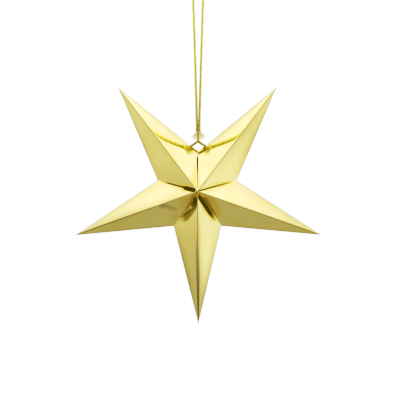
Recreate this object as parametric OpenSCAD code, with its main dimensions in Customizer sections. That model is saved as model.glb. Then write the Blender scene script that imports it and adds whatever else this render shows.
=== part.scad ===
// Hanging five-pointed star of folded mirror card, laced shut at its top valley by a twisted gold cord.
// Millimetres. The origin is the bearing point under the top of the hanging loop, +Z is up,
// and the front of the star faces -Y.

/* [Star] */
// Distance from the centre of the star to each tip
tip_radius = 160; // [120:1:260]
// Distance from the centre of the star to each valley corner
valley_radius = 50.5; // [45:0.5:65]
// Distance from the middle plane to the front centre and to the back centre
half_depth = 51; // [40:0.5:70]
// Angle left open between the two upper points
seam_angle = 2.6; // [1:0.1:5]

/* [Card] */
// Thickness of the card
card_thickness = 0.4; // [0.25:0.05:0.6]
// Width of the glue flaps turned in along the valley folds
flap_width = 7; // [4:0.5:10]
// Length of each valley fold that has no flap, at the valley corner
corner_relief = 6; // [4:0.5:10]
// Length of each valley fold that has no flap, at the centre of the star
centre_relief = 6; // [4:0.5:12]
// Width of the lap that closes each point inside its back ridge
lap_width = 6; // [3:0.5:10]
// Distance from the centre of the star to the start of the lap
lap_start = 20; // [18:1:40]

/* [Cord holes] */
// Diameter of the hole through each of the two creases beside the seam
hole_diameter = 5; // [4.5:0.1:6.5]
// Distance along the crease from the valley corner to the middle of the hole
hole_offset = 10.8; // [10.5:0.1:12]

/* [Cord] */
// Diameter of the twisted cord
cord_diameter = 2.5; // [1.5:0.1:2.7]
// Diameter of the knot
knot_diameter = 7.5; // [7:0.1:10]
// Height of the knot
knot_height = 6; // [4:0.5:7]
// Length of each frayed end below the knot
fray_length = 11; // [8:0.5:12]
// Diameter of each frayed end where it has spread
fray_diameter = 5.5; // [4:0.5:6]
// Angle at which each frayed end leans out
fray_lean = 24; // [22:1:34]

/* [Hidden] */

foil_gold = "#d6c25f";
cord_gold = "#a8963a";
fray_gold = "#e4d694";

// One point spans a fifth of the opened fan. Angles run counterclockwise, seen from the front.
span = (360 - seam_angle) / 5;
half_span = span / 2;
lower_angle = -90;

// Corners of one point that lies along +X, with its front towards -Y
tip = [tip_radius, 0, 0];
front_centre = [0, -half_depth, 0];
back_centre = [0, half_depth, 0];
upper_corner = valley_radius * [cos(half_span), 0, sin(half_span)];
lower_corner = valley_radius * [cos(half_span), 0, -sin(half_span)];

// Moving the outside of a point by inset along its axis gives its inside, one card thickness in.
facet_normal = unit(cross(upper_corner - tip, front_centre - tip));
inset = card_thickness / facet_normal.x;
hole_centre = upper_corner + hole_offset * unit(tip - upper_corner);

// Cord routes, measured from the top valley corner
hanging_route = [
    [-1.5, 0, 29], [-1.6, 0, 36], [-2.6, 0, 70], [-3.6, 0, 105], [-4.7, 0, 140], [-5.8, 0, 175],
    [-6.5, 0, 193], [-5.6, 0, 196.3], [-3.3, 0, 198.6], [0, 0, 199.5], [3.3, 0, 198.6], [5.6, 0, 196.3],
    [6.5, 0, 193], [5.8, 0, 175], [4.7, 0, 140], [3.6, 0, 105], [2.6, 0, 70], [1.6, 0, 36], [1.5, 0, 29],
];
closing_route = [
    [0, -1.3, 23], [0, -1.3, 18], [0, -1.2, 14], [-0.5, -1.1, 12], [-2.2, -0.8, 10.1], [-5, -0.4, 8.3],
    [-8.5, 0, 6], [-10.2, 0, 4.2], [-10.9, 0, 1.8], [-10.4, 0, -0.4], [-9, 0, -2.1], [-6, 0, -4.6],
    [-3.1, 0, -6.9], [0, 0, -8], [3.1, 0, -6.9],
    [6, 0, -4.6], [9, 0, -2.1], [10.4, 0, -0.4], [10.9, 0, 1.8], [10.2, 0, 4.2], [8.5, 0, 6],
    [5, 0.4, 8.3], [2.2, 0.8, 10.1], [0.5, 1.1, 12], [0, 1.2, 14], [0, 1.3, 18], [0, 1.3, 23],
];
cord_sides = 8;
ring_step = 3 * cord_diameter;

// The knot fills the height between the two routes' ends, and the loop's top sets the hanging point.
knot_middle = (hanging_route[0].z + closing_route[0].z) / 2;
loop_top = max([for (p = hanging_route) p.z]);
valley_drop = loop_top - cord_diameter / 2;
star_drop = valley_drop + valley_radius;

// Radius at which each frayed end leaves the knot, and its diameter there
fray_start = 0.35 * knot_diameter;
fray_root = 0.8 * cord_diameter;

function unit(v) = v / norm(v);

// Path: one span of a Catmull-Rom curve through a route, at t from 0 to 1
function route_point(route, i) = route[max(0, min(len(route) - 1, i))];
function curve_point(a, b, c, d, t) =
    0.5 * (2 * b + (c - a) * t + (2 * a - 5 * b + 4 * c - d) * t ^ 2 + (3 * b - a - 3 * c + d) * t ^ 3);
function smooth_path(route) = [
    for (i = [0 : len(route) - 2])
        let (rings = ceil(norm(route[i + 1] - route[i]) / ring_step))
            for (k = [0 : rings - 1])
                curve_point(
                    route_point(route, i - 1), route[i], route[i + 1], route_point(route, i + 2), k / rings
                ),
    route[len(route) - 1],
];
function heading(path, i) = unit(route_point(path, i + 1) - route_point(path, i - 1));

// One ring of the cord, square to its heading. The first and last rings lie flat on the knot.
function ring(path, i) =
    let (
        at_end = i == 0 || i == len(path) - 1,
        ahead = at_end ? [0, 0, sign(heading(path, i).z)] : heading(path, i),
        side = unit(cross(ahead, [0, 1, 0])),
        up = cross(side, ahead)
    )
        [for (k = [0 : cord_sides - 1])
            path[i] + cord_diameter / 2 * (cos(360 * k / cord_sides) * side + sin(360 * k / cord_sides) * up)];

module cord(route) {
    path = smooth_path(route);
    last = (len(path) - 1) * cord_sides;
    around = [for (k = [0 : cord_sides - 1]) k];
    sides = [
        for (i = [0 : len(path) - 2], k = around)
            let (next = (k + 1) % cord_sides)
                [i * cord_sides + k, i * cord_sides + next, (i + 1) * cord_sides + next, (i + 1) * cord_sides + k],
    ];
    polyhedron(
        points = [for (i = [0 : len(path) - 1]) each ring(path, i)],
        faces = concat([[for (k = around) cord_sides - 1 - k]], sides, [[for (k = around) last + k]]),
        convexity = 6
    );
}

// Outside of one point, closed at the two planes where it meets its neighbours
module point_block() {
    polyhedron(
        points = [tip, front_centre, upper_corner, back_centre, lower_corner],
        faces = [[0, 1, 2], [0, 2, 3], [0, 3, 4], [0, 4, 1], [1, 3, 2], [1, 4, 3]],
        convexity = 2
    );
}

// Four facets of card, doubled along the back ridge by the lap
module facets() {
    difference() {
        point_block();
        translate([-2 * inset, 0, 0]) point_block();
        difference() {
            translate([-inset, 0, 0]) point_block();
            translate([lap_start, 0, 0]) cube([tip_radius, 2 * half_depth, lap_width]);
        }
    }
}

// Flap along the upper front valley fold, flat against the plane shared with the neighbour
module flap() {
    fold_start = [0, -half_depth];
    fold_end = [valley_radius, 0];
    along = unit(fold_end - fold_start);
    inward = [-along.y, along.x];
    root = fold_start + card_thickness / 2 * inward;
    fold_length = norm(fold_end - fold_start);
    rotate([0, -half_span, 0])
        translate([0, 0, -card_thickness])
            linear_extrude(card_thickness)
                polygon([
                    root + centre_relief * along,
                    root + (fold_length - corner_relief) * along,
                    root + (fold_length - corner_relief - flap_width) * along + flap_width * inward,
                    root + (centre_relief + flap_width) * along + flap_width * inward,
                ]);
}

// One folded point along +X
module folded_point() {
    facets();
    for (back = [0, 1], lower = [0, 1])
        mirror([0, back, 0]) mirror([0, 0, lower]) flap();
}

// Turns a point that lies along +X to its place in the fan
module at_fan(step) {
    translate([0, 0, -star_drop])
        rotate([0, -(lower_angle + step * span), 0])
            children();
}

// The sphere leaves a hole that is round in both facets of the crease.
module cord_hole() {
    translate(hole_centre) sphere(d = hole_diameter, $fn = 48);
}

module plain_point(step) {
    color(foil_gold) at_fan(step) folded_point();
}

module laced_point(step) {
    color(foil_gold)
        at_fan(step)
            difference() {
                folded_point();
                mirror([0, 0, step > 0 ? 0 : 1]) cord_hole();
            }
}

module at_valley() {
    translate([0, 0, -valley_drop]) children();
}

module knot_ball() {
    translate([0, 0, knot_middle])
        rotate_extrude($fn = 48)
            intersection() {
                circle(d = knot_diameter, $fn = 48);
                translate([0, -knot_height / 2]) square([knot_diameter, knot_height]);
            }
}

module hanging_loop() {
    color(cord_gold) at_valley() cord(hanging_route);
}

module closing_loop() {
    color(cord_gold) at_valley() cord(closing_route);
}

module cord_knot() {
    color(cord_gold) at_valley() knot_ball();
}

// Two brushes of loose thread, left and right of the closing loop
module frayed_ends() {
    color(fray_gold)
        at_valley()
            difference() {
                for (side = [0, 1])
                    mirror([side, 0, 0])
                        translate([fray_start, 0, knot_middle - knot_height / 4])
                            rotate([0, 180 - fray_lean, 0])
                                cylinder(h = fray_length, d1 = fray_root, d2 = fray_diameter, $fn = 32);
                knot_ball();
            }
}

plain_point(0);  // lower_point
plain_point(1);  // right_point
laced_point(2);  // upper_right_point
laced_point(-2);  // upper_left_point
plain_point(-1);  // left_point
hanging_loop();
closing_loop();
cord_knot();
frayed_ends();
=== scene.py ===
"""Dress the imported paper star: five folded points of gold mirror card on a twisted gold cord."""
import logging
import math
import random
from dataclasses import dataclass, field
from enum import Enum
from typing import Sequence

import bmesh
import bpy
from mathutils import Matrix, Vector


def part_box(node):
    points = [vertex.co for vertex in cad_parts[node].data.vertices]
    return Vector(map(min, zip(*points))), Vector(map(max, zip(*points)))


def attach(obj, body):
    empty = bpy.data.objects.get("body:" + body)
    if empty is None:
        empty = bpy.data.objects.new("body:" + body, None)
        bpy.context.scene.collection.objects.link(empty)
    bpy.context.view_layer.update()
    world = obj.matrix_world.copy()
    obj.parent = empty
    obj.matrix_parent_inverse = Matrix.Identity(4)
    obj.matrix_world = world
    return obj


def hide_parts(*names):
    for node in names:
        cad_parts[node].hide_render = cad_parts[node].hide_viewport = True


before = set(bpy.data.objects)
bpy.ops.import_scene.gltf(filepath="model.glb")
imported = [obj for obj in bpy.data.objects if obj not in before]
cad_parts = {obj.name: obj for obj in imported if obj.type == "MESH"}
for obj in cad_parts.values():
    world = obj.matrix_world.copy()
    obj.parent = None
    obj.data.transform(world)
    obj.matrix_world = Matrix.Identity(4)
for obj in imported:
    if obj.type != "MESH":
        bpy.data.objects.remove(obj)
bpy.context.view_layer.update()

MM = 0.001
BODY = "root"
LOG = logging.getLogger("paper_star")
TINY = 1e-6
POINTS = 5
THREAD_ROUNDNESS = 1
Colour = tuple[float, float, float]
Place = tuple[float, float, float]
Range = tuple[float, float]
Noise = tuple[float, float]
BLACK: Colour = (0.0, 0.0, 0.0)
WHITE: Colour = (1.0, 1.0, 1.0)


class Signal:
    """A shader socket that takes part in Python arithmetic."""

    def __init__(self, bench: "ShaderBench", socket: bpy.types.NodeSocket) -> None:
        """Keep the socket and the bench that its node stands on."""
        self.bench = bench
        self.socket = socket

    def out(self, name: str) -> "Signal":
        """Another output of the same node."""
        return Signal(self.bench, self.socket.node.outputs[name])

    def maths(self, operation: str, first: "Signal | float", second: "Signal | float") -> "Signal":
        """One Math node on two terms."""
        return self.bench.node("ShaderNodeMath", {"operation": operation}, {0: first, 1: second})

    def __add__(self, other: "Signal | float") -> "Signal":
        """Sum of two terms."""
        return self.maths("ADD", self, other)

    __radd__ = __add__

    def __sub__(self, other: "Signal | float") -> "Signal":
        """Difference of two terms."""
        return self.maths("SUBTRACT", self, other)

    def __rsub__(self, other: float) -> "Signal":
        """Difference that starts from a number."""
        return self.maths("SUBTRACT", other, self)

    def __mul__(self, other: "Signal | float") -> "Signal":
        """Product of two terms."""
        return self.maths("MULTIPLY", self, other)

    __rmul__ = __mul__

    def smooth(self, low: float, high: float) -> "Signal":
        """Rise softly from 0 at low to 1 at high."""
        return self.bench.node(
            "ShaderNodeMapRange",
            {"interpolation_type": "SMOOTHSTEP"},
            {"Value": self, "From Min": low, "From Max": high},
        )

    def fall(self, low: float, high: float) -> "Signal":
        """Fall softly from 1 at low to 0 at high."""
        return 1.0 - self.smooth(low, high)

    def either(self, other: "Signal | float") -> "Signal":
        """The larger of two terms."""
        return self.maths("MAXIMUM", self, other)

    def size(self) -> "Signal":
        """The value without its sign."""
        return self.either(-1.0 * self)

    def blend(self, other: "Signal | float", share: "Signal") -> "Signal":
        """Go over to another term by a share from 0 to 1."""
        return self + (other - self) * share


class ShaderBench:
    """A node tree on which a finish is put together. The numbers are a colour mix's own sockets."""

    FIRST_COLOUR = 6
    SECOND_COLOUR = 7
    MIXED_COLOUR = 2

    def __init__(self, tree: bpy.types.NodeTree) -> None:
        """Start from an empty tree."""
        self.tree = tree
        tree.nodes.clear()

    @classmethod
    def for_material(cls, name: str) -> tuple["ShaderBench", bpy.types.Material]:
        """Make a material with an empty tree.

        Args:
            name: the material's name.

        Returns:
            The bench and the material.
        """
        material = bpy.data.materials.new(name)
        material.use_nodes = True
        return cls(material.node_tree), material

    def node(
        self,
        kind: str,
        settings: dict[str, object] | None = None,
        sockets: dict[int | str, object] | None = None,
        output: int | str = 0,
    ) -> Signal:
        """Add one node.

        Args:
            kind: the node's type.
            settings: its attributes, which are set first.
            sockets: values or signals for the inputs, by name or place.
            output: the output that the signal carries.

        Returns:
            The chosen output as a signal.
        """
        made = self.tree.nodes.new(kind)
        for name, value in (settings or {}).items():
            setattr(made, name, value)
        for name, value in (sockets or {}).items():
            if isinstance(value, Signal):
                self.tree.links.new(value.socket, made.inputs[name])
            else:
                made.inputs[name].default_value = value
        return Signal(self, made.outputs[output] if made.outputs else None)

    def mix(self, share: Signal, first: Signal | Colour, second: Signal | Colour) -> Signal:
        """Mix two colours.

        Args:
            share: how much of the second colour shows.
            first: colour at 0.
            second: colour at 1.

        Returns:
            The mixed colour.
        """
        def colour(value: Signal | Colour) -> object:
            """A socket value for a colour."""
            return value if isinstance(value, Signal) else (*value, 1.0)

        ends = {self.FIRST_COLOUR: colour(first), self.SECOND_COLOUR: colour(second)}
        return self.node("ShaderNodeMix", {"data_type": "RGBA"}, {0: share, **ends}, self.MIXED_COLOUR)

    def place(self) -> Signal:
        """The piece's own coordinates."""
        return self.node("ShaderNodeTexCoord", output="Object")

    def noise(self, scale: float, detail: float) -> Signal:
        """Noise on the piece's own coordinates.

        Args:
            scale: blotches in a metre.
            detail: finer layers that are added.

        Returns:
            The noise value.
        """
        return self.node(
            "ShaderNodeTexNoise", sockets={"Vector": self.place(), "Scale": scale, "Detail": detail}
        )

    def bump(self, height: Signal, distance: float, strength: float) -> Signal:
        """A bumped normal.

        Args:
            height: height from 0 to 1.
            distance: what a height of 1 measures.
            strength: share of the bump that shows.

        Returns:
            The normal.
        """
        return self.node(
            "ShaderNodeBump", sockets={"Height": height, "Distance": distance, "Strength": strength}
        )

    def surface(self, sockets: dict[str, object]) -> None:
        """Close a material with its surface shader."""
        shader = self.node("ShaderNodeBsdfPrincipled", sockets=sockets)
        self.node("ShaderNodeOutputMaterial", sockets={"Surface": shader})


@dataclass(frozen=True)
class MirrorFoil:
    """Gold mirror film on card, rubbed along its folds."""

    tint: Colour = (0.94, 0.815, 0.375)
    deep_tint: Colour = (0.91, 0.775, 0.325)
    rubbed: Colour = (0.8, 0.74, 0.55)
    polish: float = 0.05
    grain: Noise = (1500.0, 3.0)
    cloud: Noise = (28.0, 2.0)
    ripple: Noise = (160.0, 1.0)
    fine_ripple: Noise = (1100.0, 2.0)
    fine_share: float = 0.06
    ripple_height: float = 0.03 * MM
    ripple_strength: float = 0.5
    ridge_wear: Range = (0.2 * MM, 0.75 * MM)
    crease_wear: Range = (0.15 * MM, 0.5 * MM)
    worn_grain: Range = (0.35, 0.6)
    deep_cloud: Range = (0.35, 0.7)
    wear_shows: float = 0.55
    cloud_haze: float = 0.03
    wear_haze: float = 0.3

    def make(self) -> bpy.types.Material:
        """Make the material.

        Returns:
            Mirror gold with a faint waviness and rubbed folds.
        """
        bench, material = ShaderBench.for_material("gold_mirror_foil")
        folds = bench.node("ShaderNodeAttribute", {"attribute_name": "fold_distance"}, output="Vector")
        apart = bench.node("ShaderNodeSeparateXYZ", sockets={0: folds})
        cloud = bench.noise(*self.cloud)
        near_fold = apart.out("X").fall(*self.ridge_wear).either(apart.out("Y").fall(*self.crease_wear))
        wear = near_fold * bench.noise(*self.grain).smooth(*self.worn_grain)
        film = bench.mix(cloud.smooth(*self.deep_cloud), self.tint, self.deep_tint)
        ripple = bench.noise(*self.ripple) + self.fine_share * bench.noise(*self.fine_ripple)
        bench.surface({
            "Base Color": bench.mix(self.wear_shows * wear, film, self.rubbed),
            "Metallic": 1.0,
            "Roughness": self.polish + self.cloud_haze * cloud + self.wear_haze * wear,
            "Normal": bench.bump(ripple, self.ripple_height, self.ripple_strength),
        })
        return material


@dataclass(frozen=True)
class BareCard:
    """Uncoated white side and cut edge of the card."""

    pale: Colour = (0.82, 0.8, 0.74)
    grey: Colour = (0.7, 0.67, 0.6)
    fibre: Noise = (900.0, 4.0)
    pale_fibre: Range = (0.3, 0.7)
    fibre_height: float = 0.05 * MM
    fibre_strength: float = 0.4
    matt: float = 0.82
    fibre_haze: float = 0.1

    def make(self) -> bpy.types.Material:
        """Make the material.

        Returns:
            Matt card with a fibrous grain.
        """
        bench, material = ShaderBench.for_material("bare_card")
        fibre = bench.noise(*self.fibre)
        bench.surface({
            "Base Color": bench.mix(fibre.smooth(*self.pale_fibre), self.grey, self.pale),
            "Roughness": self.matt + self.fibre_haze * fibre,
            "Normal": bench.bump(fibre, self.fibre_height, self.fibre_strength),
        })
        return material


@dataclass(frozen=True)
class MetalYarn:
    """Gold film yarn of the twisted cord."""

    bright: Colour = (0.97, 0.89, 0.36)
    dark: Colour = (0.76, 0.69, 0.22)
    thread: Noise = (2600.0, 3.0)
    run: Noise = (210.0, 2.0)
    thread_share: float = 0.7
    run_share: float = 0.3
    bright_thread: Range = (0.34, 0.62)
    metal: float = 0.45
    gloss: float = 0.24
    thread_haze: float = 0.3
    thread_height: float = 0.04 * MM
    thread_strength: float = 0.5

    def make(self) -> bpy.types.Material:
        """Make the material.

        Returns:
            Glinting gold yarn with darker threads in it.
        """
        bench, material = ShaderBench.for_material("gold_film_yarn")
        thread = bench.noise(*self.thread)
        fleck = self.thread_share * thread + self.run_share * bench.noise(*self.run)
        bench.surface({
            "Base Color": bench.mix(fleck.smooth(*self.bright_thread), self.dark, self.bright),
            "Metallic": self.metal,
            "Roughness": self.gloss + self.thread_haze * thread,
            "Normal": bench.bump(thread, self.thread_height, self.thread_strength),
        })
        return material


@dataclass(frozen=True)
class LooseThread:
    """Pale thread of the frayed cord ends, lightened by a faint painted glow."""

    pale: Colour = (0.97, 0.94, 0.76)
    gold: Colour = (0.94, 0.87, 0.58)
    run: Noise = (420.0, 3.0)
    gold_run: Range = (0.5, 0.75)
    gloss: float = 0.45
    run_haze: float = 0.25
    cover: float = 0.6
    # strength of the painted glow that lightens the threads
    glow: float = 0.12

    def make(self) -> bpy.types.Material:
        """Make the material.

        Returns:
            Pale soft thread with gold in places, lightened by a faint painted glow.
        """
        bench, material = ShaderBench.for_material("pale_loose_thread")
        run = bench.noise(*self.run)
        bench.surface({
            "Base Color": bench.mix(run.smooth(*self.gold_run), self.pale, self.gold),
            "Roughness": self.gloss + self.run_haze * run,
            "Alpha": self.cover,
            # painted glow: a faint emission in the thread's own colours lightens the tufts, which are no
            # lamp
            "Emission Color": bench.mix(run, self.pale, self.gold),
            "Emission Strength": self.glow,
        })
        return material


@dataclass(frozen=True)
class PaleFloor:
    """Matt pale studio floor."""

    light: Colour = (0.56, 0.55, 0.53)
    dark: Colour = (0.52, 0.51, 0.49)
    cloud: Noise = (3.0, 3.0)
    matt: float = 0.75
    cloud_haze: float = 0.1
    glow: float = 0.6

    def make(self) -> bpy.types.Material:
        """Make the material.

        Returns:
            A matt, nearly even floor.
        """
        bench, material = ShaderBench.for_material("pale_floor")
        cloud = bench.noise(*self.cloud)
        tone = bench.mix(cloud, self.dark, self.light)
        bench.surface({
            "Base Color": tone,
            "Roughness": self.matt + self.cloud_haze * cloud,
            "Emission Color": tone,
            "Emission Strength": self.glow,
        })
        return material


@dataclass(frozen=True)
class TentCloth:
    """Lit cloth of the light tent. Places on it run from -1 to 1: x to the right, y to the back, z up."""

    centre: Vector
    radius: float
    brightest: float = 1.3
    left_glow: float = 0.43
    left_gain: float = 0.18
    left_rise: Range = (-0.52, -0.2)
    left_dim: float = 0.35
    left_dim_below: Range = (0.36, 0.43)
    right_glow: float = 0.58
    right_gain: float = 0.38
    right_rise: Range = (-0.52, -0.38)
    right_loss: float = 0.24
    right_fall: Range = (-0.32, -0.12)
    right_core: float = 0.9
    right_core_gain: float = 0.1
    right_core_edge: Range = (0.15, 0.26)
    right_dim: float = 0.3
    right_dim_below: Range = (0.31, 0.35)
    dim_edge: Range = (0.11, 0.16)
    left_to_right: Range = (-0.4, 0.4)
    below: float = 0.39
    to_below: Range = (0.42, 0.7)
    top_glow: float = 1.18
    top_loss: float = 0.46
    top_sides: Range = (0.6, 0.86)
    top_dim: float = 0.18
    top_dim_less: float = 0.09
    top_turn: Range = (-0.3, 0.3)
    top_dim_edge: Range = (0.15, 0.24)
    side_to_top: Range = (-0.05, 0.5)
    rim_dim: float = 0.5
    rim: Range = (0.22, 0.46)
    front: float = 0.4
    to_front: Range = (0.75, 0.95)
    gap: float = 0.09
    gap_gain: float = 0.11
    gap_right: Range = (0.2, 0.5)
    gap_up: Range = (-0.1, 0.0)
    gap_front: Range = (0.12, 0.22)
    gap_back: Range = (-0.06, 0.03)
    high_gap_front: Range = (0.35, 0.45)
    high_gap_back: Range = (-0.02, 0.08)
    high_outward: Range = (0.7, 0.8)
    high_start: Range = (0.0, 0.1)
    high_end: Range = (0.55, 0.65)
    gap_end: Range = (0.3, 0.45)
    spot_outward: Range = (0.5, 0.6)
    spot_down: Range = (0.42, 0.62)
    spot_edge: Range = (0.1, 0.16)
    shade: float = 0.46
    shade_back: Range = (-0.01, 0.08)
    shade_edge: Range = (0.25, 0.4)
    shade_outward: Range = (0.4, 0.5)

    def panels(self, x: Signal, off_middle: Signal, z: Signal) -> Signal:
        """Glow of the cloth itself: bright above and to the right, dim below and towards the rims.

        Args:
            x: place to the right.
            off_middle: distance from the middle plane.
            z: place upwards.

        Returns:
            The glow.
        """
        down = -1.0 * z
        inner = off_middle.fall(*self.dim_edge)
        left = self.left_glow + self.left_gain * z.smooth(*self.left_rise)
        left = left * (1.0 - self.left_dim * down.smooth(*self.left_dim_below) * inner)
        right = self.right_glow + self.right_gain * z.smooth(*self.right_rise)
        right = right - self.right_loss * z.smooth(*self.right_fall)
        right = right * (self.right_core + self.right_core_gain * off_middle.smooth(*self.right_core_edge))
        right = right * (1.0 - self.right_dim * down.smooth(*self.right_dim_below) * inner)
        low = left.blend(right, x.smooth(*self.left_to_right)).blend(self.below, down.smooth(*self.to_below))
        top = self.top_glow - self.top_loss * x.size().smooth(*self.top_sides)
        top_dim = self.top_dim - self.top_dim_less * x.smooth(*self.top_turn)
        top = top * (1.0 - top_dim * off_middle.fall(*self.top_dim_edge))
        lit = low.blend(top, z.smooth(*self.side_to_top))
        return lit * (1.0 - self.rim_dim * off_middle.smooth(*self.rim))

    def opening(self, x: Signal, y: Signal, z: Signal) -> Signal:
        """How far the cloth shows, beside the dark gap that runs round the tent and the shade on its floor.

        Args:
            x: place to the right.
            y: place to the back.
            z: place upwards.

        Returns:
            0 in the gap and 1 on the open cloth.
        """
        outward, off_middle, ahead, down = x.size(), y.size(), -1.0 * y, -1.0 * z
        high = outward.smooth(*self.high_outward) * z.smooth(*self.high_start) * z.fall(*self.high_end)
        back = y.smooth(*self.gap_back).blend(y.smooth(*self.high_gap_back), high)
        front = ahead.smooth(*self.gap_front).blend(ahead.smooth(*self.high_gap_front), high)
        spot = outward.smooth(*self.spot_outward) * down.smooth(*self.spot_down)
        spot = spot * off_middle.fall(*self.spot_edge)
        shade = y.fall(*self.shade_back) * off_middle.fall(*self.shade_edge)
        shade = shade * outward.fall(*self.shade_outward)
        return (back + front).blend(1.0 - spot - self.shade * shade, down.smooth(*self.gap_end))

    def make(self) -> bpy.types.Material:
        """Make the material.

        Returns:
            The glowing cloth.
        """
        bench, material = ShaderBench.for_material("lit_tent_cloth")
        ends = {0: bench.place(), 1: self.centre}
        away = bench.node("ShaderNodeVectorMath", {"operation": "SUBTRACT"}, ends)
        apart = bench.node("ShaderNodeSeparateXYZ", sockets={0: away})
        x, y, z = (apart.out(name) * (1.0 / self.radius) for name in "XYZ")
        cloth = self.panels(x, y.size(), z).blend(self.front, (-1.0 * y).smooth(*self.to_front))
        gap = self.gap + self.gap_gain * x.smooth(*self.gap_right) * z.smooth(*self.gap_up)
        glow = gap.blend(cloth, self.opening(x, y, z))
        bench.surface({
            "Base Color": (*BLACK, 1.0),
            "Roughness": 1.0,
            "Specular IOR Level": 0.0,
            "Emission Color": bench.mix(glow * (1.0 / self.brightest), BLACK, WHITE),
            "Emission Strength": self.brightest,
        })
        return material


def add_piece(name: str, mesh: bpy.types.Mesh, materials: Sequence[bpy.types.Material]) -> bpy.types.Object:
    """Put a finished mesh in the scene.

    Args:
        name: the piece's name.
        mesh: its mesh, in place.
        materials: its materials, in the order of its faces' indices.

    Returns:
        The new object, at the origin.
    """
    mesh.name = name
    mesh.materials.clear()
    for material in materials:
        mesh.materials.append(material)
    piece = bpy.data.objects.new(name, mesh)
    bpy.context.scene.collection.objects.link(piece)
    return piece


def hand_over(piece: bpy.types.Object, node: str) -> None:
    """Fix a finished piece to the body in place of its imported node, and report it.

    Args:
        piece: the finished piece.
        node: the node that it stands for.
    """
    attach(piece, BODY)
    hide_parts(node)
    LOG.info("%s: %d faces", piece.name, len(piece.data.polygons))


def mesh_of(name: str, shape: bmesh.types.BMesh) -> bpy.types.Mesh:
    """Turn a finished bmesh into a mesh.

    Args:
        name: the mesh's name.
        shape: the bmesh, which is freed.

    Returns:
        The mesh.
    """
    mesh = bpy.data.meshes.new(name)
    shape.to_mesh(mesh)
    shape.free()
    return mesh


def settled_mesh(holder: bpy.types.Object) -> bpy.types.Mesh:
    """Mesh of an object with its modifiers or bevel applied.

    Args:
        holder: the object, which is removed.

    Returns:
        The settled mesh.
    """
    graph = bpy.context.evaluated_depsgraph_get()
    graph.update()
    mesh = bpy.data.meshes.new_from_object(holder.evaluated_get(graph), depsgraph=graph)
    bpy.data.objects.remove(holder)
    return mesh


@dataclass(frozen=True)
class StarSizes:
    """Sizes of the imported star, read from its nodes."""

    centre: Vector
    tip_radius: float
    half_depth: float
    valley_radius: float
    span: float

    @classmethod
    def from_frame(cls) -> "StarSizes":
        """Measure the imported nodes.

        Returns:
            The star's sizes.
        """
        low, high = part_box("lower_point")
        _, side_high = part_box("right_point")
        centre = Vector((0.0, 0.0, high.z))
        tip_radius = high.z - low.z
        span = math.pi / 2 - math.acos(side_high.x / tip_radius)
        return cls(centre, tip_radius, high.y, high.x / math.sin(span / 2), span)

    @property
    def valley_corner(self) -> Vector:
        """Top valley corner, from which the cord's routes are measured."""
        return self.centre + Vector((0.0, 0.0, self.valley_radius))

    def fan_turn(self, step: int) -> Matrix:
        """Matrix that brings a point from +X to its place in the fan."""
        return Matrix.Translation(self.centre) @ Matrix.Rotation(math.pi / 2 - step * self.span, 4, "Y")


class Lace(Enum):
    """Side of a point whose outline crease has the cord hole."""

    NONE = 0
    LEADING = 1
    TRAILING = -1


class Facet(Enum):
    """Face of a point: front or back, on its leading or trailing side, counterclockwise."""

    FRONT_LEADING = (-1, 1)
    FRONT_TRAILING = (-1, -1)
    BACK_LEADING = (1, 1)
    BACK_TRAILING = (1, -1)


def ease(value: float, low: float, high: float) -> float:
    """Rise softly from 0 at low to 1 at high."""
    t = min(1.0, max(0.0, (value - low) / (high - low)))
    return t * t * (3 - 2 * t)


@dataclass(frozen=True)
class Dip:
    """How a whole facet bows in towards a valley fold that the glue has drawn down."""

    depth: float
    fading: float = 2.0

    def at(self, from_apex: float, towards_valley: float) -> float:
        """How far the facet lies below its flat place.

        Args:
            from_apex: 0 at the apex, 1 at the outline crease.
            towards_valley: 0 on the ridge, 1 on the valley fold.

        Returns:
            The depth, which grows from the ridge to the valley fold.
        """
        peak = self.fading**self.fading / (1 + self.fading) ** (1 + self.fading)
        return self.depth * towards_valley * from_apex * (1 - from_apex) ** self.fading / peak


@dataclass(frozen=True)
class Tuck:
    """A strip of a facet that is turned in beside its valley fold."""

    depth: float
    width: float
    full: float
    gone: float

    def at(self, off_fold: float, room: float, along_fold: float) -> float:
        """How far the strip lies below its flat place.

        Args:
            off_fold: distance from the valley fold.
            room: distance from the fold to the ridge, which the strip doesn't pass.
            along_fold: place along the fold, from 0 at the apex to 1 at the corner.

        Returns:
            The depth, which is greatest at the fold and ends along it between full and gone.
        """
        width = max(TINY, min(self.width, room))
        slope = self.depth / self.width * (1.0 - ease(along_fold, self.full, self.gone))
        return slope * max(0.0, width - off_fold)


@dataclass(frozen=True)
class Furrow:
    """A shallow furrow that a hand has pressed into a facet.

    Its ends are given as shares of the ways from the tip to the apex and to the valley corner.
    """

    start: tuple[float, float]
    end: tuple[float, float]
    depth: float
    width: float
    fade: float

    def at(self, place: Vector, start: Vector, end: Vector) -> float:
        """How far the facet lies below its flat place.

        Args:
            place: a place on the facet, seen from the front.
            start: the furrow's first end, seen the same way.
            end: the furrow's last end.

        Returns:
            The depth, which is greatest on the line between the ends.
        """
        run = (end - start).normalized()
        ahead, off = (place - start).dot(run), abs((place - start).cross(run))
        length = (end - start).length
        ends = ease(ahead, 0.0, self.fade) * (1.0 - ease(ahead, length - self.fade, length))
        return self.depth * ends * (1.0 - ease(off, 0.0, self.width))


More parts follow.
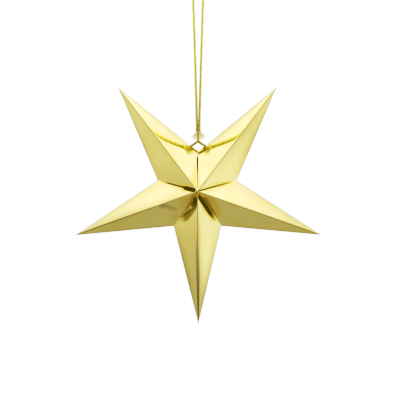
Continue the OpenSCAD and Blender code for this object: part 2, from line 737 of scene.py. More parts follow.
@dataclass
class FoldedPoint:
    """One hollow point of the star, folded from one blank of mirror card.

    A drift says how many millimetres a corner lies to the right of its regular place, and above it.
    """

    node: str
    step: int
    star: StarSizes
    lace: Lace = Lace.NONE
    dips: dict[Facet, Dip] = field(default_factory=dict)
    tucks: dict[Facet, Sequence[Tuck]] = field(default_factory=dict)
    bows: dict[Facet, float] = field(default_factory=dict)
    hems: dict[Facet, float] = field(default_factory=dict)
    furrows: dict[Facet, Furrow] = field(default_factory=dict)
    tip_drift: tuple[float, float] = (0.0, 0.0)
    leading_drift: tuple[float, float] = (0.0, 0.0)
    trailing_drift: tuple[float, float] = (0.0, 0.0)
    apex_drift: tuple[float, float] = (-0.6, 0.7)
    card: float = 0.4 * MM
    ridge_round: float = 0.4 * MM
    crease_round: float = 0.35 * MM
    pillow: float = 0.35 * MM
    ridge_reach: float = 12 * MM
    crease_reach: float = 9 * MM
    valley_reach: float = 22 * MM
    bow_scale: float = 27.0
    hem_reach: float = 6 * MM
    furrow_clear: float = 3 * MM
    valley_round: float = 0.06 * MM
    seam_gap: float = 2.1 * MM
    seam_lean: float = 0.8 * MM
    seam_pull: float = 9 * MM
    seam_opens: Range = (0.02, 0.16)
    seam_closes: Range = (0.7, 1.0)
    flap_width: float = 7 * MM
    flap_relief: float = 6 * MM
    flap_roots: tuple[tuple[float, float], ...] = ((0.35 * MM, 0.5), (0.7 * MM, 0.15))
    press: float = 0.05 * MM
    press_run: float = 7 * MM
    rim_slack: float = 0.3 * MM
    hole_diameter: float = 5 * MM
    hole_offset: float = 10.8 * MM
    hole_segments: tuple[int, int] = (40, 24)
    first_cut: float = 0.14 * MM
    cut_growth: float = 1.42
    coarse_cut: float = 1.5 * MM
    valley_cuts: tuple[float, ...] = (0.004, 0.012, 0.025, 0.045, 0.075)
    tuck_edges: Range = (0.96, 1.04)
    cut_slack: float = 1e-7
    sharp_angle: float = math.radians(38)

    def __post_init__(self) -> None:
        """Work out the corners and directions of a point along +X, for its leading front facet."""
        half = self.star.span / 2
        self.tip = Vector((self.star.tip_radius, 0.0, 0.0))
        self.apex = Vector((0.0, -self.star.half_depth, 0.0))
        self.corner = self.star.valley_radius * Vector((math.cos(half), 0.0, math.sin(half)))
        self.facet_normal = (self.corner - self.tip).cross(self.apex - self.tip).normalized()
        ridge, crease = self.apex - self.tip, self.corner - self.tip
        self.ridge_normal = Vector((-ridge.y, ridge.x, 0.0)).normalized()
        self.crease_normal = Vector((-crease.z, 0.0, crease.x)).normalized()
        if self.ridge_normal.x < 0:
            self.ridge_normal.negate()
        if self.crease_normal.x < 0:
            self.crease_normal.negate()
        self.valley = self.corner - self.apex
        self.height = self.valley.cross(self.tip - self.apex).length / self.valley.length
        self.widening = math.tan(self.valley.angle(self.tip - self.apex))
        self.wall = Vector((-self.corner.z, 0.0, self.corner.x)).normalized()
        in_wall = self.facet_normal - self.wall * self.facet_normal.dot(self.wall)
        self.valley_normal = in_wall.normalized()
        self.seam_half = math.tan(math.pi - POINTS / 2 * self.star.span)
        back = self.star.fan_turn(self.step).to_3x3().inverted()
        drifts = (self.tip_drift, self.apex_drift, self.leading_drift, self.trailing_drift)
        tip, apex, leading, trailing = (back @ Vector((x * MM, 0.0, z * MM)) for x, z in drifts)
        self.tip_shift, self.apex_shift = tip, apex
        self.corner_shift = {1: leading, -1: trailing}

    def cuts(self, reach: float) -> list[float]:
        """Distances of the cuts beside a fold.

        Args:
            reach: how far the facet goes from the fold.

        Returns:
            Distances that are close together at the fold and wider away from it.
        """
        found, gap = [], self.first_cut
        place = gap
        while place < reach - self.first_cut:
            found.append(place)
            gap = min(gap * self.cut_growth, self.coarse_cut)
            place += gap
        return found

    def blank(self) -> bmesh.types.BMesh:
        """Cut a flat rhombus into the grid that is folded.

        Returns:
            The rhombus in the plane x = 0, its corners at the apexes and valley corners.
        """
        sheet = bmesh.new()
        depth, width = self.star.half_depth, self.corner.z
        rim = [(-depth, 0.0), (0.0, width), (depth, 0.0), (0.0, -width)]
        sheet.faces.new([sheet.verts.new((0.0, y, z)) for y, z in rim])
        for axis, reach in ((Vector((0, 1, 0)), depth), (Vector((0, 0, 1)), width)):
            for place in [0.0] + [s * c for c in self.cuts(reach) for s in (-1, 1)]:
                self.cut(sheet, axis * place, axis)
        for facet in Facet:
            y_side, z_side = facet.value
            across = Vector((0.0, y_side / depth, z_side / width))
            strips = [tuck.width / self.height for tuck in self.tucks.get(facet, ())]
            edges = [strip * side for strip in strips for side in self.tuck_edges]
            for gap in (*self.valley_cuts, *edges):
                self.cut(sheet, Vector((0.0, y_side * depth * (1 - gap), 0.0)), across, facet)
        return sheet

    def cut(
        self, sheet: bmesh.types.BMesh, place: Vector, across: Vector, facet: Facet | None = None
    ) -> None:
        """Cut the sheet along a plane.

        Args:
            sheet: the flat sheet.
            place: a point of the plane.
            across: the plane's normal.
            facet: the only facet that is cut, or all.
        """
        faces = sheet.faces[:]
        if facet is not None:
            y_side, z_side = facet.value
            faces = [f for f in faces if f.calc_center_median().y * y_side > 0]
            faces = [f for f in faces if f.calc_center_median().z * z_side > 0]
        edges = {e for f in faces for e in f.edges}
        verts = {v for f in faces for v in f.verts}
        bmesh.ops.bisect_plane(
            sheet, geom=[*verts, *edges, *faces], dist=self.cut_slack, plane_co=place, plane_no=across
        )

    @staticmethod
    def facet_of(y: float, z: float) -> Facet:
        """The facet in which a place of the flat sheet lies."""
        return Facet((-1 if y <= 0 else 1, 1 if z >= 0 else -1))

    def folded(self, y: float, z: float) -> tuple[Vector, Vector]:
        """Where a place of the flat rhombus comes to lie on the folded point.

        Args:
            y: place across the crease.
            z: place across the ridge.

        Returns:
            The place on the outside of the card, and its distances from ridge, crease and valley.
        """
        facet = self.facet_of(y, z)
        y_side, z_side = facet.value
        across, along = abs(y) / self.star.half_depth, abs(z) / self.corner.z
        place = self.on_facet(across, along)
        inside = max(0.0, 1.0 - across - along)
        run = (place - self.apex).dot(self.valley.normalized())
        ridge = abs(z) / self.side_of(self.ridge_normal)
        crease = abs(y) / self.side_of(self.crease_normal)
        valley = inside * self.height
        ridge_angle = math.tan(self.facet_normal.angle(self.ridge_normal))
        crease_angle = math.tan(self.facet_normal.angle(self.crease_normal))
        place -= self.ridge_normal * ridge_angle * (math.hypot(z, self.ridge_round) - abs(z))
        place -= self.crease_normal * crease_angle * (math.hypot(y, self.crease_round) - abs(y))
        place += self.facet_normal * self.swell(facet, across, along, (ridge, crease, valley))
        if z_side == self.lace.value:
            place += self.wall * self.drawn(along) * math.exp(-valley / self.seam_pull)
        else:
            off_wall = valley * self.side_of(self.valley_normal)
            turn = math.tan(self.facet_normal.angle(self.valley_normal))
            place += self.valley_normal * turn * (math.hypot(off_wall, self.valley_round) - off_wall)
            if facet in self.dips:
                drop = self.dips[facet].at(1.0 - across, along / max(TINY, 1.0 - across))
                place -= self.valley_normal * drop
            room, fold_place = run * self.widening, run / self.valley.length
            for tuck in self.tucks.get(facet, ()):
                place -= self.valley_normal * tuck.at(valley, room, fold_place)
        place = Vector((place.x, -y_side * place.y, z_side * place.z))
        place += self.tip_shift * (1.0 - across - along) + self.apex_shift * across
        return place + self.corner_shift[z_side] * along, Vector((ridge, crease, valley))

    def swell(self, facet: Facet, across: float, along: float, gaps: tuple[float, float, float]) -> float:
        """How far a facet stands out from its flat place.

        Args:
            facet: the facet.
            across: share of the way from the tip to the apex.
            along: share of the way from the tip to the valley corner.
            gaps: distances from ridge, crease and valley.

        Returns:
            The height, which a furrow takes away from.
        """
        ridge, crease, valley = gaps
        height = self.pillow * (1.0 - math.exp(-crease / self.crease_reach))
        height += self.hems.get(facet, 0.0) * (1.0 - math.exp(-crease / self.hem_reach))
        for gap, reach in ((ridge, self.ridge_reach), (valley, self.valley_reach)):
            height *= 1.0 - math.exp(-gap / reach)
        inside = max(0.0, 1.0 - across - along)
        height += self.bows.get(facet, 0.0) * self.bow_scale * across * along * inside
        if facet in self.furrows:
            furrow = self.furrows[facet]
            spots = (self.on_facet(*spot).xz for spot in ((across, along), furrow.start, furrow.end))
            height -= furrow.at(*spots) * ease(ridge, 0.0, self.furrow_clear)
        return height

    def on_facet(self, across: float, along: float) -> Vector:
        """Place on the flat leading front facet."""
        return self.tip + across * (self.apex - self.tip) + along * (self.corner - self.tip)

    def drawn(self, along: float) -> float:
        """How far the cord draws the open seam's edge towards its neighbour.

        Args:
            along: place on the valley fold, from 0 at the apex to 1 at the corner.

        Returns:
            The distance, which closes the seam at both its ends.
        """
        ends = ease(along, *self.seam_opens) * (1.0 - ease(along, *self.seam_closes))
        gap = self.seam_gap * ends / 2
        lean = self.lace.value * self.seam_lean * ends
        return along * self.star.valley_radius * self.seam_half - gap + lean

    def side_of(self, fold_normal: Vector) -> float:
        """Sine between a facet and the plane that halves its fold."""
        return math.cos(self.facet_normal.angle(fold_normal))

    def fold(self, sheet: bmesh.types.BMesh) -> None:
        """Fold the flat sheet into the hollow point and note each vertex's distance from the folds.

        Args:
            sheet: the cut rhombus.
        """
        distance = sheet.verts.layers.float_vector.new("fold_distance")
        for vert in sheet.verts:
            vert.co, vert[distance] = self.folded(vert.co.y, vert.co.z)

    def add_flaps(self, sheet: bmesh.types.BMesh) -> None:
        """Turn in a glue flap along each valley fold.

        Args:
            sheet: the folded point, still one sheet.
        """
        distance = sheet.verts.layers.float_vector["fold_distance"]
        length = self.valley.length
        rim = [e for e in sheet.edges if e.is_boundary]
        for facet in Facet:
            y_side, z_side = facet.value
            start = Vector((self.apex.x, -y_side * self.apex.y, 0.0)) + self.apex_shift
            end = Vector((self.corner.x, 0.0, z_side * self.corner.z)) + self.corner_shift[z_side]
            run = (end - start).normalized()
            wall = Vector((start.z - end.z, 0.0, end.x - start.x)).normalized() * z_side
            inward = wall.cross(run).normalized()
            if inward.dot(-start) < 0:
                inward.negate()
            own = [
                e for e in rim
                if all(v.co.y * y_side >= -TINY for v in e.verts)
                and all((v.co - start).z * z_side >= -self.rim_slack for v in e.verts)
                and self.along_rim(e, start, run, length)
            ]
            for vert in {v for e in own for v in e.verts}:
                place = (vert.co - start).dot(run)
                clear = min(place, length - place) - self.flap_relief
                vert.co += wall * self.press * min(1.0, max(0.0, clear / self.press_run))
            squeeze_end = 1.0 - 2 * self.flap_width / (length - 2 * self.flap_relief)
            seam = self.seam_half if z_side == self.lace.value and y_side > 0 else 0.0
            roots = [(depth, apart, 1.0) for depth, apart in self.flap_roots]
            edges, last = own, 0.0
            for depth, apart, squeeze in (*roots, (self.flap_width, 0.0, squeeze_end)):
                grown = bmesh.ops.extrude_edge_only(sheet, edges=edges)["geom"]
                edges = [g for g in grown if isinstance(g, bmesh.types.BMEdge)
                         and all(v in grown for v in g.verts)]
                for vert in (g for g in grown if isinstance(g, bmesh.types.BMVert)):
                    place = (vert.co - start).dot(run)
                    vert.co += inward * (depth - last) + run * (length / 2 - place) * (1.0 - squeeze)
                    meets = math.hypot(vert.co.x, vert.co.z) * seam
                    vert.co += wall * (meets - (vert.co - start).dot(wall)) * (1.0 - apart)
                    vert[distance] = Vector((place, place, 0.0))
                last = depth

    def along_rim(self, edge: bmesh.types.BMEdge, start: Vector, run: Vector, length: float) -> bool:
        """Whether an edge lies where the flap is, clear of the fold's two ends.

        Args:
            edge: an edge of the rim.
            start: the fold's end at the apex.
            run: the fold's direction.
            length: the fold's length.

        Returns:
            True if both ends of the edge are in the flap's stretch.
        """
        places = [(v.co - start).dot(run) for v in edge.verts]
        return all(self.flap_relief < p < length - self.flap_relief for p in places)

    @staticmethod
    def face_outwards(sheet: bmesh.types.BMesh) -> None:
        """Turn the faces of a point along +X to its outside.

        Args:
            sheet: the folded point.
        """
        bmesh.ops.recalc_face_normals(sheet, faces=sheet.faces[:])
        if sum(f.normal.x for f in sheet.faces) < 0:
            bmesh.ops.reverse_faces(sheet, faces=sheet.faces[:])

    def build(self, foil: bpy.types.Material, inner: bpy.types.Material) -> None:
        """Make the point and put it in its place in the fan.

        Args:
            foil: finish of the outside.
            inner: finish of the inside and the cut edge.
        """
        sheet = self.blank()
        self.fold(sheet)
        self.face_outwards(sheet)
        self.add_flaps(sheet)
        self.face_outwards(sheet)
        turn = self.star.fan_turn(self.step)
        bmesh.ops.transform(sheet, matrix=turn, verts=sheet.verts[:])
        for face in sheet.faces:
            face.smooth = True
        holder = add_piece("blank_of_" + self.node, mesh_of(self.node, sheet), [foil, inner])
        wall = holder.modifiers.new("card", "SOLIDIFY")
        wall.thickness = self.card
        wall.offset = -1.0
        wall.material_offset = wall.material_offset_rim = 1
        punch = None if self.lace is Lace.NONE else self.make_punch(turn, inner)
        if punch:
            hole = holder.modifiers.new("cord_hole", "BOOLEAN")
            hole.operation = "DIFFERENCE"
            hole.solver = "EXACT"
            hole.object = punch
        mesh = settled_mesh(holder)
        if punch:
            bpy.data.objects.remove(punch)
        mesh.set_sharp_from_angle(angle=self.sharp_angle)
        hand_over(add_piece("folded_" + self.node, mesh, [foil, inner]), self.node)

    def make_punch(self, turn: Matrix, inner: bpy.types.Material) -> bpy.types.Object:
        """Make the ball that punches the cord hole through the crease.

        Args:
            turn: the point's place in the fan.
            inner: finish of the cut edge.

        Returns:
            The ball, which is removed after the cut.
        """
        corner = Vector((self.corner.x, 0.0, self.lace.value * self.corner.z))
        centre = turn @ (corner + self.hole_offset * (self.tip - corner).normalized())
        ball = bmesh.new()
        around, upwards = self.hole_segments
        bmesh.ops.create_uvsphere(
            ball, u_segments=around, v_segments=upwards, radius=self.hole_diameter / 2,
            matrix=Matrix.Translation(centre),
        )
        return add_piece("punch", mesh_of("punch", ball), [inner])


@dataclass(frozen=True)
class CordLay:
    """How a cord is laid up: plies twisted together, each of finer yarns."""

    diameter: float = 2.9 * MM
    plies: int = 3
    ply_turn: float = 7.5 * MM
    yarns: int = 5
    yarn_turn: float = 4.2 * MM
    yarn_bulk: float = 1.9
    step: float = 0.42 * MM

    @staticmethod
    def packed_radius(outside: float, count: int) -> float:
        """Radius of equal round strands that fill a circle side by side."""
        return outside * math.sin(math.pi / count) / (1 + math.sin(math.pi / count))

    def yarn_lines(self, path: Sequence[Vector], closed: bool = False) -> tuple[list[list[Vector]], float]:
        """Centre lines of all yarns along a path.

        Args:
            path: evenly spaced points of the cord's centre line.
            closed: whether the path is a ring.

        Returns:
            The lines and the radius of one yarn.
        """
        ply = self.packed_radius(self.diameter / 2, self.plies)
        yarn = self.packed_radius(ply, self.yarns)
        lines = []
        for i in range(self.plies):
            ply_line = wound(path, self.diameter / 2 - ply, self.ply_turn, i / self.plies, closed)
            for k in range(self.yarns):
                lines.append(wound(ply_line, ply - yarn, -self.yarn_turn, k / self.yarns, closed))
        return lines, yarn * self.yarn_bulk


def smooth_route(route: Sequence[Vector], step: float, parts: int = 60) -> list[Vector]:
    """Evenly spaced points on a smooth curve through a route.

    Args:
        route: points that the curve passes.
        step: distance between the new points.
        parts: fine parts in each stretch of the route.

    Returns:
        The points, ends included.
    """
    fine: list[Vector] = []
    for i in range(len(route) - 1):
        a, b, c, d = (route[max(0, min(len(route) - 1, i + k))] for k in (-1, 0, 1, 2))
        for k in range(parts):
            t = k / parts
            fine.append(0.5 * (2 * b + (c - a) * t + (2 * a - 5 * b + 4 * c - d) * t**2
                               + (3 * b - a - 3 * c + d) * t**3))
    fine.append(route[-1])
    return even_points(fine, step)


def even_points(fine: Sequence[Vector], step: float) -> list[Vector]:
    """Points at even distances along a finely drawn line.

    Args:
        fine: points of the line, close together.
        step: rough distance between the new points.

    Returns:
        The evenly spaced points, ends included.
    """
    total = line_length(fine)
    count = max(2, round(total / step))
    found, walked, i = [fine[0].copy()], 0.0, 0
    for n in range(1, count):
        goal = total * n / count
        while walked + (fine[i + 1] - fine[i]).length < goal:
            walked += (fine[i + 1] - fine[i]).length
            i += 1
        share = (goal - walked) / (fine[i + 1] - fine[i]).length
        found.append(fine[i].lerp(fine[i + 1], share))
    return found + [fine[-1].copy()]


def line_length(points: Sequence[Vector]) -> float:
    """Length of a line of points."""
    return sum((b - a).length for a, b in zip(points, points[1:]))


def wound(path: Sequence[Vector], offset: float, turn: float, phase: float, closed: bool) -> list[Vector]:
    """A line that winds round a path.

    Args:
        path: evenly spaced points of the line that it winds round.
        offset: its distance from the path.
        turn: length of one turn along the path, negative for the other hand.
        phase: where it starts, as a share of a turn.
        closed: whether the path is a ring, which holds whole turns.

    Returns:
        The points of the winding line.
    """
    last = len(path) - 1
    total = line_length(path)
    turns = total / turn
    if closed:
        total = total + (path[0] - path[-1]).length
        turns = round(total / turn)
    line, walked = [], 0.0
    for i, point in enumerate(path):
        before = path[i - 1] if i or closed else path[0]
        after = path[(i + 1) % len(path)] if i < last or closed else path[last]
        ahead = (after - before).normalized()
        side = ahead.cross(Vector((0.0, 1.0, 0.0))).normalized()
        up = side.cross(ahead)
        angle = 2 * math.pi * (phase + turns * walked / total)
        line.append(point + offset * (math.cos(angle) * side + math.sin(angle) * up))
        walked += (after - point).length
    return line


def tube_mesh(lines: Sequence[Sequence[Vector]], radius: float, closed: bool = False,
              taper: Sequence[float] | None = None) -> bpy.types.Mesh:
    """Round threads along lines.

    Args:
        lines: the threads' centre lines.
        radius: the threads' radius.
        closed: whether each line is a ring.
        taper: the share of the radius at each point of a line, or the same all along.

    Returns:
        One mesh of all threads.
    """
    curve = bpy.data.curves.new("threads", "CURVE")
    curve.dimensions = "3D"
    curve.bevel_depth = radius
    curve.bevel_resolution = THREAD_ROUNDNESS
    curve.use_fill_caps = True
    for line in lines:
        spline = curve.splines.new("POLY")
        spline.points.add(len(line) - 1)
        spline.use_cyclic_u = closed
        for i, (knot, place) in enumerate(zip(spline.points, line)):
            knot.co = (*place, 1.0)
            knot.radius = 1.0 if taper is None else taper[i]
    holder = bpy.data.objects.new("threads", curve)
    bpy.context.scene.collection.objects.link(holder)
    mesh = settled_mesh(holder)
    bpy.data.curves.remove(curve)
    for face in mesh.polygons:
        face.use_smooth = True
    return mesh


@dataclass
class HangingCord:
    """The gold cord: a long loop to hang by, a knot, and a small loop that laces the star shut."""

    star: StarSizes
    cord_diameter: float = 2.5 * MM
    lay: CordLay = CordLay()
    knot_lay: CordLay = CordLay(diameter=1.9 * MM, ply_turn=6 * MM, yarns=3, step=0.3 * MM)
    knot_low: float = 23 * MM
    knot_high: float = 29 * MM
    knot_width: float = 6.4 * MM
    bights_wide: float = 5.2
    bights_high: float = 4.75
    knot_weave: float = 0.95 * MM
    knot_lift: float = 0.3 * MM
    knot_points: int = 720
    tucked: float = 1.2 * MM
    hanging_half: tuple[Place, ...] = (
        (-1.5, 0, 29), (-1.6, 0, 36), (-2.6, 0, 70), (-3.6, 0, 105), (-4.7, 0, 140), (-5.8, 0, 175),
        (-6.5, 0, 193), (-5.6, 0, 196.3), (-3.3, 0, 198.6),
    )
    hanging_top: Place = (0, 0, 199.5)
    closing_half: tuple[Place, ...] = (
        (0, -1.3, 23), (0, -1.3, 18), (0, -1.2, 14), (-0.5, -1.1, 12), (-2.2, -0.8, 10.1), (-5, -0.4, 8.3),
        (-8.5, 0, 6), (-10.2, 0, 4.2), (-10.9, 0, 1.8), (-10.4, 0, -0.4), (-9, 0, -2.1), (-6, 0, -4.6),
        (-3.1, 0, -6.9),
    )
    closing_low: Place = (0, 0, -8)

    def route(self, half: Sequence[Place], middle: Place) -> list[Vector]:
        """A route that goes out on the left and comes back on the right.

        Args:
            half: its left half, in millimetres from the top valley corner.
            middle: its middle point.

        Returns:
            The whole route in the star's frame.
        """
        back = [(-x, -y, z) for x, y, z in reversed(half)]
        return [self.star.valley_corner + Vector(p) * MM for p in (*half, middle, *back)]

    def build_loop(self, node: str, route: list[Vector], leaves: float, yarn: bpy.types.Material) -> None:
        """Make one of the two loops.

        Args:
            node: the CAD node that it stands for.
            route: the route of its centre line.
            leaves: height at which it leaves the knot, above the top valley corner; it is not used.
            yarn: its finish.
        """
        inward = Vector((0.0, 0.0, math.copysign(self.tucked, self.knot_middle.z - route[0].z)))
        path = smooth_route([route[0] + inward, *route, route[-1] + inward], self.lay.step)
        lines, radius = self.lay.yarn_lines(path)
        piece = add_piece("twisted_" + node, tube_mesh(lines, radius), [yarn])
        hand_over(piece, node)
        self.above(leaves)
        round(line_length(path), 3)
        LOG.info("%s: %.3f m long", piece.name, line_length(path))

    def above(self, height: float) -> Vector:
        """Place at a height above the top valley corner."""
        return self.star.valley_corner + Vector((0.0, 0.0, height))

    @property
    def knot_middle(self) -> Vector:
        """Middle of the knot."""
        return self.above((self.knot_low + self.knot_high) / 2)

    def build_knot(self, yarn: bpy.types.Material) -> bpy.types.Object:
        """Make the overhand knot.

        Args:
            yarn: its finish.

        Returns:
            The finished piece.
        """
        bight = (self.knot_width - self.knot_lay.diameter) / self.bights_wide
        squash = (self.knot_high - self.knot_low - self.knot_lay.diameter) / (self.bights_high * bight)
        fine = []
        for i in range(self.knot_points):
            t = 2 * math.pi * i / self.knot_points
            fine.append(self.knot_middle + Vector((
                bight * (math.sin(t) + 2 * math.sin(2 * t)),
                -self.knot_weave * math.sin(3 * t),
                squash * bight * (2 * math.cos(2 * t) - math.cos(t)) + self.knot_lift,
            )))
        path = even_points([*fine, fine[0]], self.knot_lay.step)[:-1]
        lines, radius = self.knot_lay.yarn_lines(path, closed=True)
        piece = add_piece("tied_knot", tube_mesh(lines, radius, closed=True), [yarn])
        hand_over(piece, "cord_knot")
        return piece

    def build(self, yarn: bpy.types.Material, thread: bpy.types.Material) -> None:
        """Make the knot, the frayed ends and both loops.

        Args:
            yarn: finish of the cord.
            thread: finish of the frayed ends.
        """
        knot = self.build_knot(yarn)
        frayed = FrayedEnds(self.star.valley_corner).build(thread)
        hanging = self.route(self.hanging_half, self.hanging_top)
        closing = self.route(self.closing_half, self.closing_low)
        self.build_loop("hanging_loop", hanging, self.knot_high, yarn)
        self.build_loop("closing_loop", closing, self.knot_low, yarn)


@dataclass
class FrayedEnds:
    """The cord's two cut ends, frayed into tufts below the knot."""

    corner: Vector
    threads: int = 260
    thread_radius: float = 0.055 * MM
    root_height: float = 24.5 * MM
    root_radius: float = 1.4 * MM
    reach: float = 11.5 * MM
    lean: float = math.radians(17)
    spread: float = math.radians(28)
    forward: float = math.radians(7)
    root_spread: float = 0.8 * MM
    waver: float = math.radians(3)
    bend: float = 0.9 * MM
    bend_upwards: float = 0.4
    lengths: Range = (0.72, 1.08)
    taper: tuple[float, ...] = (1.0,) * 8 + (0.85, 0.65, 0.35)
    seed: int = 7

    def line(self, side: int, draw: random.Random) -> list[Vector]:
        """Centre line of one thread.

        Args:
            side: -1 for the left tuft, 1 for the right.
            draw: seeded source of the small differences between threads.

        Returns:
            Points from the knot to the thread's free end.
        """
        angle = draw.uniform(0, 2 * math.pi)
        out = math.sqrt(draw.random())
        root = self.corner + Vector((
            side * self.root_radius + self.root_spread * out * math.cos(angle),
            self.root_spread * out * math.sin(angle),
            self.root_height,
        ))
        tilt = self.lean + self.spread * out * math.cos(angle) + draw.gauss(0, self.waver)
        yaw = self.spread * out * math.sin(angle) - self.forward + draw.gauss(0, self.waver)
        ahead = Vector((side * math.sin(tilt), math.sin(yaw), -math.cos(tilt))).normalized()
        bend = Vector((draw.gauss(0, 1), draw.gauss(0, 1), draw.gauss(0, self.bend_upwards))) * self.bend
        length = self.reach * draw.uniform(*self.lengths)
        steps = len(self.taper) - 1
        return [root + ahead * length * i / steps + bend * (i / steps) ** 2 for i in range(steps + 1)]

    def build(self, thread: bpy.types.Material) -> bpy.types.Object:
        """Make both tufts.

        Args:
            thread: their finish.

        Returns:
            The finished piece.
        """
        draw = random.Random(self.seed)
        lines = [self.line(side, draw) for side in (-1, 1) for _ in range(self.threads)]
        tufts = tube_mesh(lines, self.thread_radius, taper=self.taper)
        piece = add_piece("frayed_cord_ends", tufts, [thread])
        hand_over(piece, "frayed_ends")
        return piece


@dataclass
class Studio:
    """Soft light that is bright above and dim in front, a pale floor and a long lens."""

    star: StarSizes
    distance: float = 2.0
    frame_width: float = 0.4908
    sensor: float = 36.0
    aim_right: float = 2.3 * MM
    aim_below: float = 9.8 * MM
    floor_drop: float = 1.0
    floor_radius: float = 2.2
    floor_sides: int = 96
    tent_radius: float = 0.5
    tent_segments: tuple[int, int] = (64, 32)
    room: float = 0.25
    fill_power: float = 32.0
    fill_size: float = 0.8
    fill_aside: float = 1.15
    fill_behind: float = 0.3
    tones: tuple[tuple[float, float], ...] = (
        (0.07, 0.045), (0.144, 0.1), (0.2, 0.162), (0.31, 0.362), (0.36, 0.445), (0.432, 0.555),
        (0.5, 0.65), (0.6, 0.735), (0.72, 0.815), (0.86, 0.9),
    )
    blue_tones: tuple[tuple[float, float], ...] = ((0.03, 0.006), (0.1, 0.062), (0.165, 0.16), (0.3, 0.3))

    def place_camera(self) -> None:
        """Set the camera level in front of the star, where the photograph was taken."""
        lens = bpy.data.cameras.new("long_lens")
        lens.sensor_width = self.sensor
        lens.lens = self.sensor * self.distance / self.frame_width
        camera = bpy.data.objects.new("camera", lens)
        camera.location = self.star.centre + Vector((self.aim_right, -self.distance, -self.aim_below))
        camera.rotation_euler = (math.pi / 2, 0.0, 0.0)
        bpy.context.scene.collection.objects.link(camera)
        bpy.context.scene.camera = camera

    def lay_floor(self, finish: bpy.types.Material) -> None:
        """Lay the floor below the hanging star.

        Args:
            finish: its material.
        """
        disc = bmesh.new()
        bmesh.ops.create_circle(
            disc, cap_ends=True, segments=self.floor_sides, radius=self.floor_radius,
            matrix=Matrix.Translation((0.0, 0.0, -self.floor_drop)),
        )
        floor = add_piece("studio_floor", mesh_of("floor", disc), [finish])
        floor.visible_glossy = False

    def add_fill(self) -> None:
        """Stand a soft lamp on either side, which lights matt surfaces and stays out of the mirror."""
        for side in (-1, 1):
            lamp = bpy.data.lights.new("soft_fill", "AREA")
            lamp.shape = "DISK"
            lamp.size = self.fill_size
            lamp.energy = self.fill_power
            holder = bpy.data.objects.new("soft_fill", lamp)
            holder.location = self.star.centre + Vector((self.fill_aside * side, self.fill_behind, 0.0))
            towards = self.star.valley_corner - holder.location
            holder.rotation_euler = towards.to_track_quat("-Z", "Y").to_euler()
            holder.visible_glossy = False
            bpy.context.scene.collection.objects.link(holder)

    def light(self) -> None:
        """Fill the room with an even soft light and show white behind the star."""
        world = bpy.data.worlds.new("soft_studio")
        world.use_nodes = True
        bpy.context.scene.world = world
        bench = ShaderBench(world.node_tree)
        seen = bench.node("ShaderNodeLightPath", output="Is Camera Ray")
        shader = bench.node("ShaderNodeBackground", sockets={
            "Color": (*WHITE, 1.0), "Strength": self.room + (1.0 - self.room) * seen,
        })
        bench.node("ShaderNodeOutputWorld", sockets={"Surface": shader})

    def raise_tent(self) -> None:
        """Stand a light tent round the star, which shows only in its mirror faces."""
        ball = bmesh.new()
        around, upwards = self.tent_segments
        bmesh.ops.create_uvsphere(
            ball, u_segments=around, v_segments=upwards, radius=self.tent_radius,
            matrix=Matrix.Translation(self.star.centre),
        )
        bmesh.ops.reverse_faces(ball, faces=ball.faces[:])
        cloth = TentCloth(self.star.centre, self.tent_radius).make()
        tent = add_piece("light_tent", mesh_of("tent", ball), [cloth])
        tent.visible_camera = tent.visible_diffuse = tent.visible_shadow = False
        tent.visible_transmission = False

    def set_tones(self) -> None:
        """Give the picture a firm contrast, as a catalogue photograph has."""
        view = bpy.context.scene.view_settings
        view.view_transform = "Standard"
        view.look = "None"
        view.use_curve_mapping = True
        blue, every = view.curve_mapping.curves[2:]
        for curve, tones in ((every, self.tones), (blue, self.blue_tones)):
            for dark, light in tones:
                curve.points.new(dark, light)
            for point in curve.points:
                point.handle_type = "AUTO_CLAMPED"
        view.curve_mapping.update()


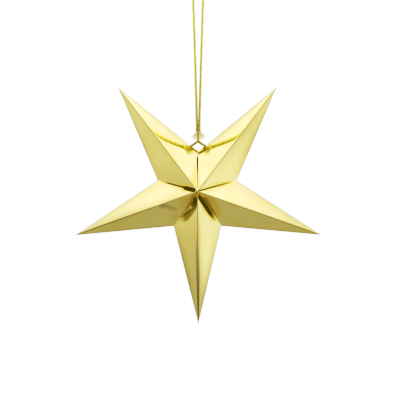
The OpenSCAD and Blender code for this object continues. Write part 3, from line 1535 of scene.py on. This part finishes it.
def folded_points(star: StarSizes) -> list[FoldedPoint]:
    """The five points, each with the small faults of its own folding.

    Args:
        star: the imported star's sizes.

    Returns:
        The points, counterclockwise from the lowest.
    """
    left_low, left_high, right_low, right_high = (-0.6, -0.8), (-1.5, -0.5), (-0.9, -0.7), (-0.9, -0.7)
    leading, trailing = Facet.FRONT_LEADING, Facet.FRONT_TRAILING
    fold_line = Tuck(depth=0.4 * MM, width=1.25 * MM, full=0.7, gone=0.98)
    high_tuck = Tuck(depth=0.95 * MM, width=3.8 * MM, full=0.26, gone=0.42)
    narrow_tuck = Tuck(depth=1.36 * MM, width=5.5 * MM, full=0.4, gone=0.85)
    short_tuck = Tuck(depth=1.4 * MM, width=9 * MM, full=0.28, gone=0.42)
    wide_tuck = Tuck(depth=1.3 * MM, width=13 * MM, full=0.6, gone=0.9)
    long_tuck = Tuck(depth=1.25 * MM, width=13 * MM, full=0.6, gone=0.95)
    press = Furrow(start=(0.63, 0.05), end=(0.27, 0.75), depth=0.78 * MM, width=9 * MM, fade=9 * MM)
    lower = FoldedPoint(
        "lower_point", 0, star, tip_drift=(0.3, -1.7), leading_drift=right_low, trailing_drift=left_low,
        ridge_round=0.36 * MM,
        dips={trailing: Dip(0.4 * MM)},
        tucks={leading: [narrow_tuck], trailing: [wide_tuck, short_tuck]},
        bows={leading: 0.35 * MM, trailing: 0.25 * MM},
    )
    right = FoldedPoint(
        "right_point", 1, star, tip_drift=(-0.5, -2.0), leading_drift=right_high, trailing_drift=right_low,
        dips={trailing: Dip(1.0 * MM)},
        tucks={leading: [fold_line], trailing: [long_tuck]},
    )
    upper_right = FoldedPoint(
        "upper_right_point", 2, star, lace=Lace.LEADING, tip_drift=(0.1, 1.0), trailing_drift=right_high,
        ridge_round=0.3 * MM,
        tucks={trailing: [fold_line]},
        bows={leading: -0.22 * MM, trailing: 0.35 * MM},
        hems={leading: 0.45 * MM},
    )
    upper_left = FoldedPoint(
        "upper_left_point", -2, star, lace=Lace.TRAILING, tip_drift=(-2.1, 1.0), leading_drift=left_high,
        ridge_round=0.3 * MM,
        tucks={leading: [high_tuck, fold_line]},
        bows={leading: 0.15 * MM, trailing: 0.04 * MM},
        hems={trailing: 0.1 * MM},
    )
    left = FoldedPoint(
        "left_point", -1, star, tip_drift=(0.5, -2.4), leading_drift=left_low, trailing_drift=left_high,
        coarse_cut=0.75 * MM,
        dips={leading: Dip(1.0 * MM)},
        tucks={trailing: [high_tuck, fold_line]},
        hems={trailing: 0.12 * MM},
        furrows={leading: press},
    )
    return [lower, right, upper_right, upper_left, left]


def main() -> None:
    """Build the dressed star, its cord and the studio."""
    logging.basicConfig(level=logging.INFO, format="%(message)s")
    star = StarSizes.from_frame()
    studio = Studio(star)
    studio.place_camera()
    HangingCord(star).build(MetalYarn().make(), LooseThread().make())
    foil, card = MirrorFoil().make(), BareCard().make()
    for point in folded_points(star):
        point.build(foil, card)
    studio.lay_floor(PaleFloor().make())
    studio.add_fill()
    studio.light()
    studio.raise_tent()
    studio.set_tones()


if __name__ == "__main__":
    main()
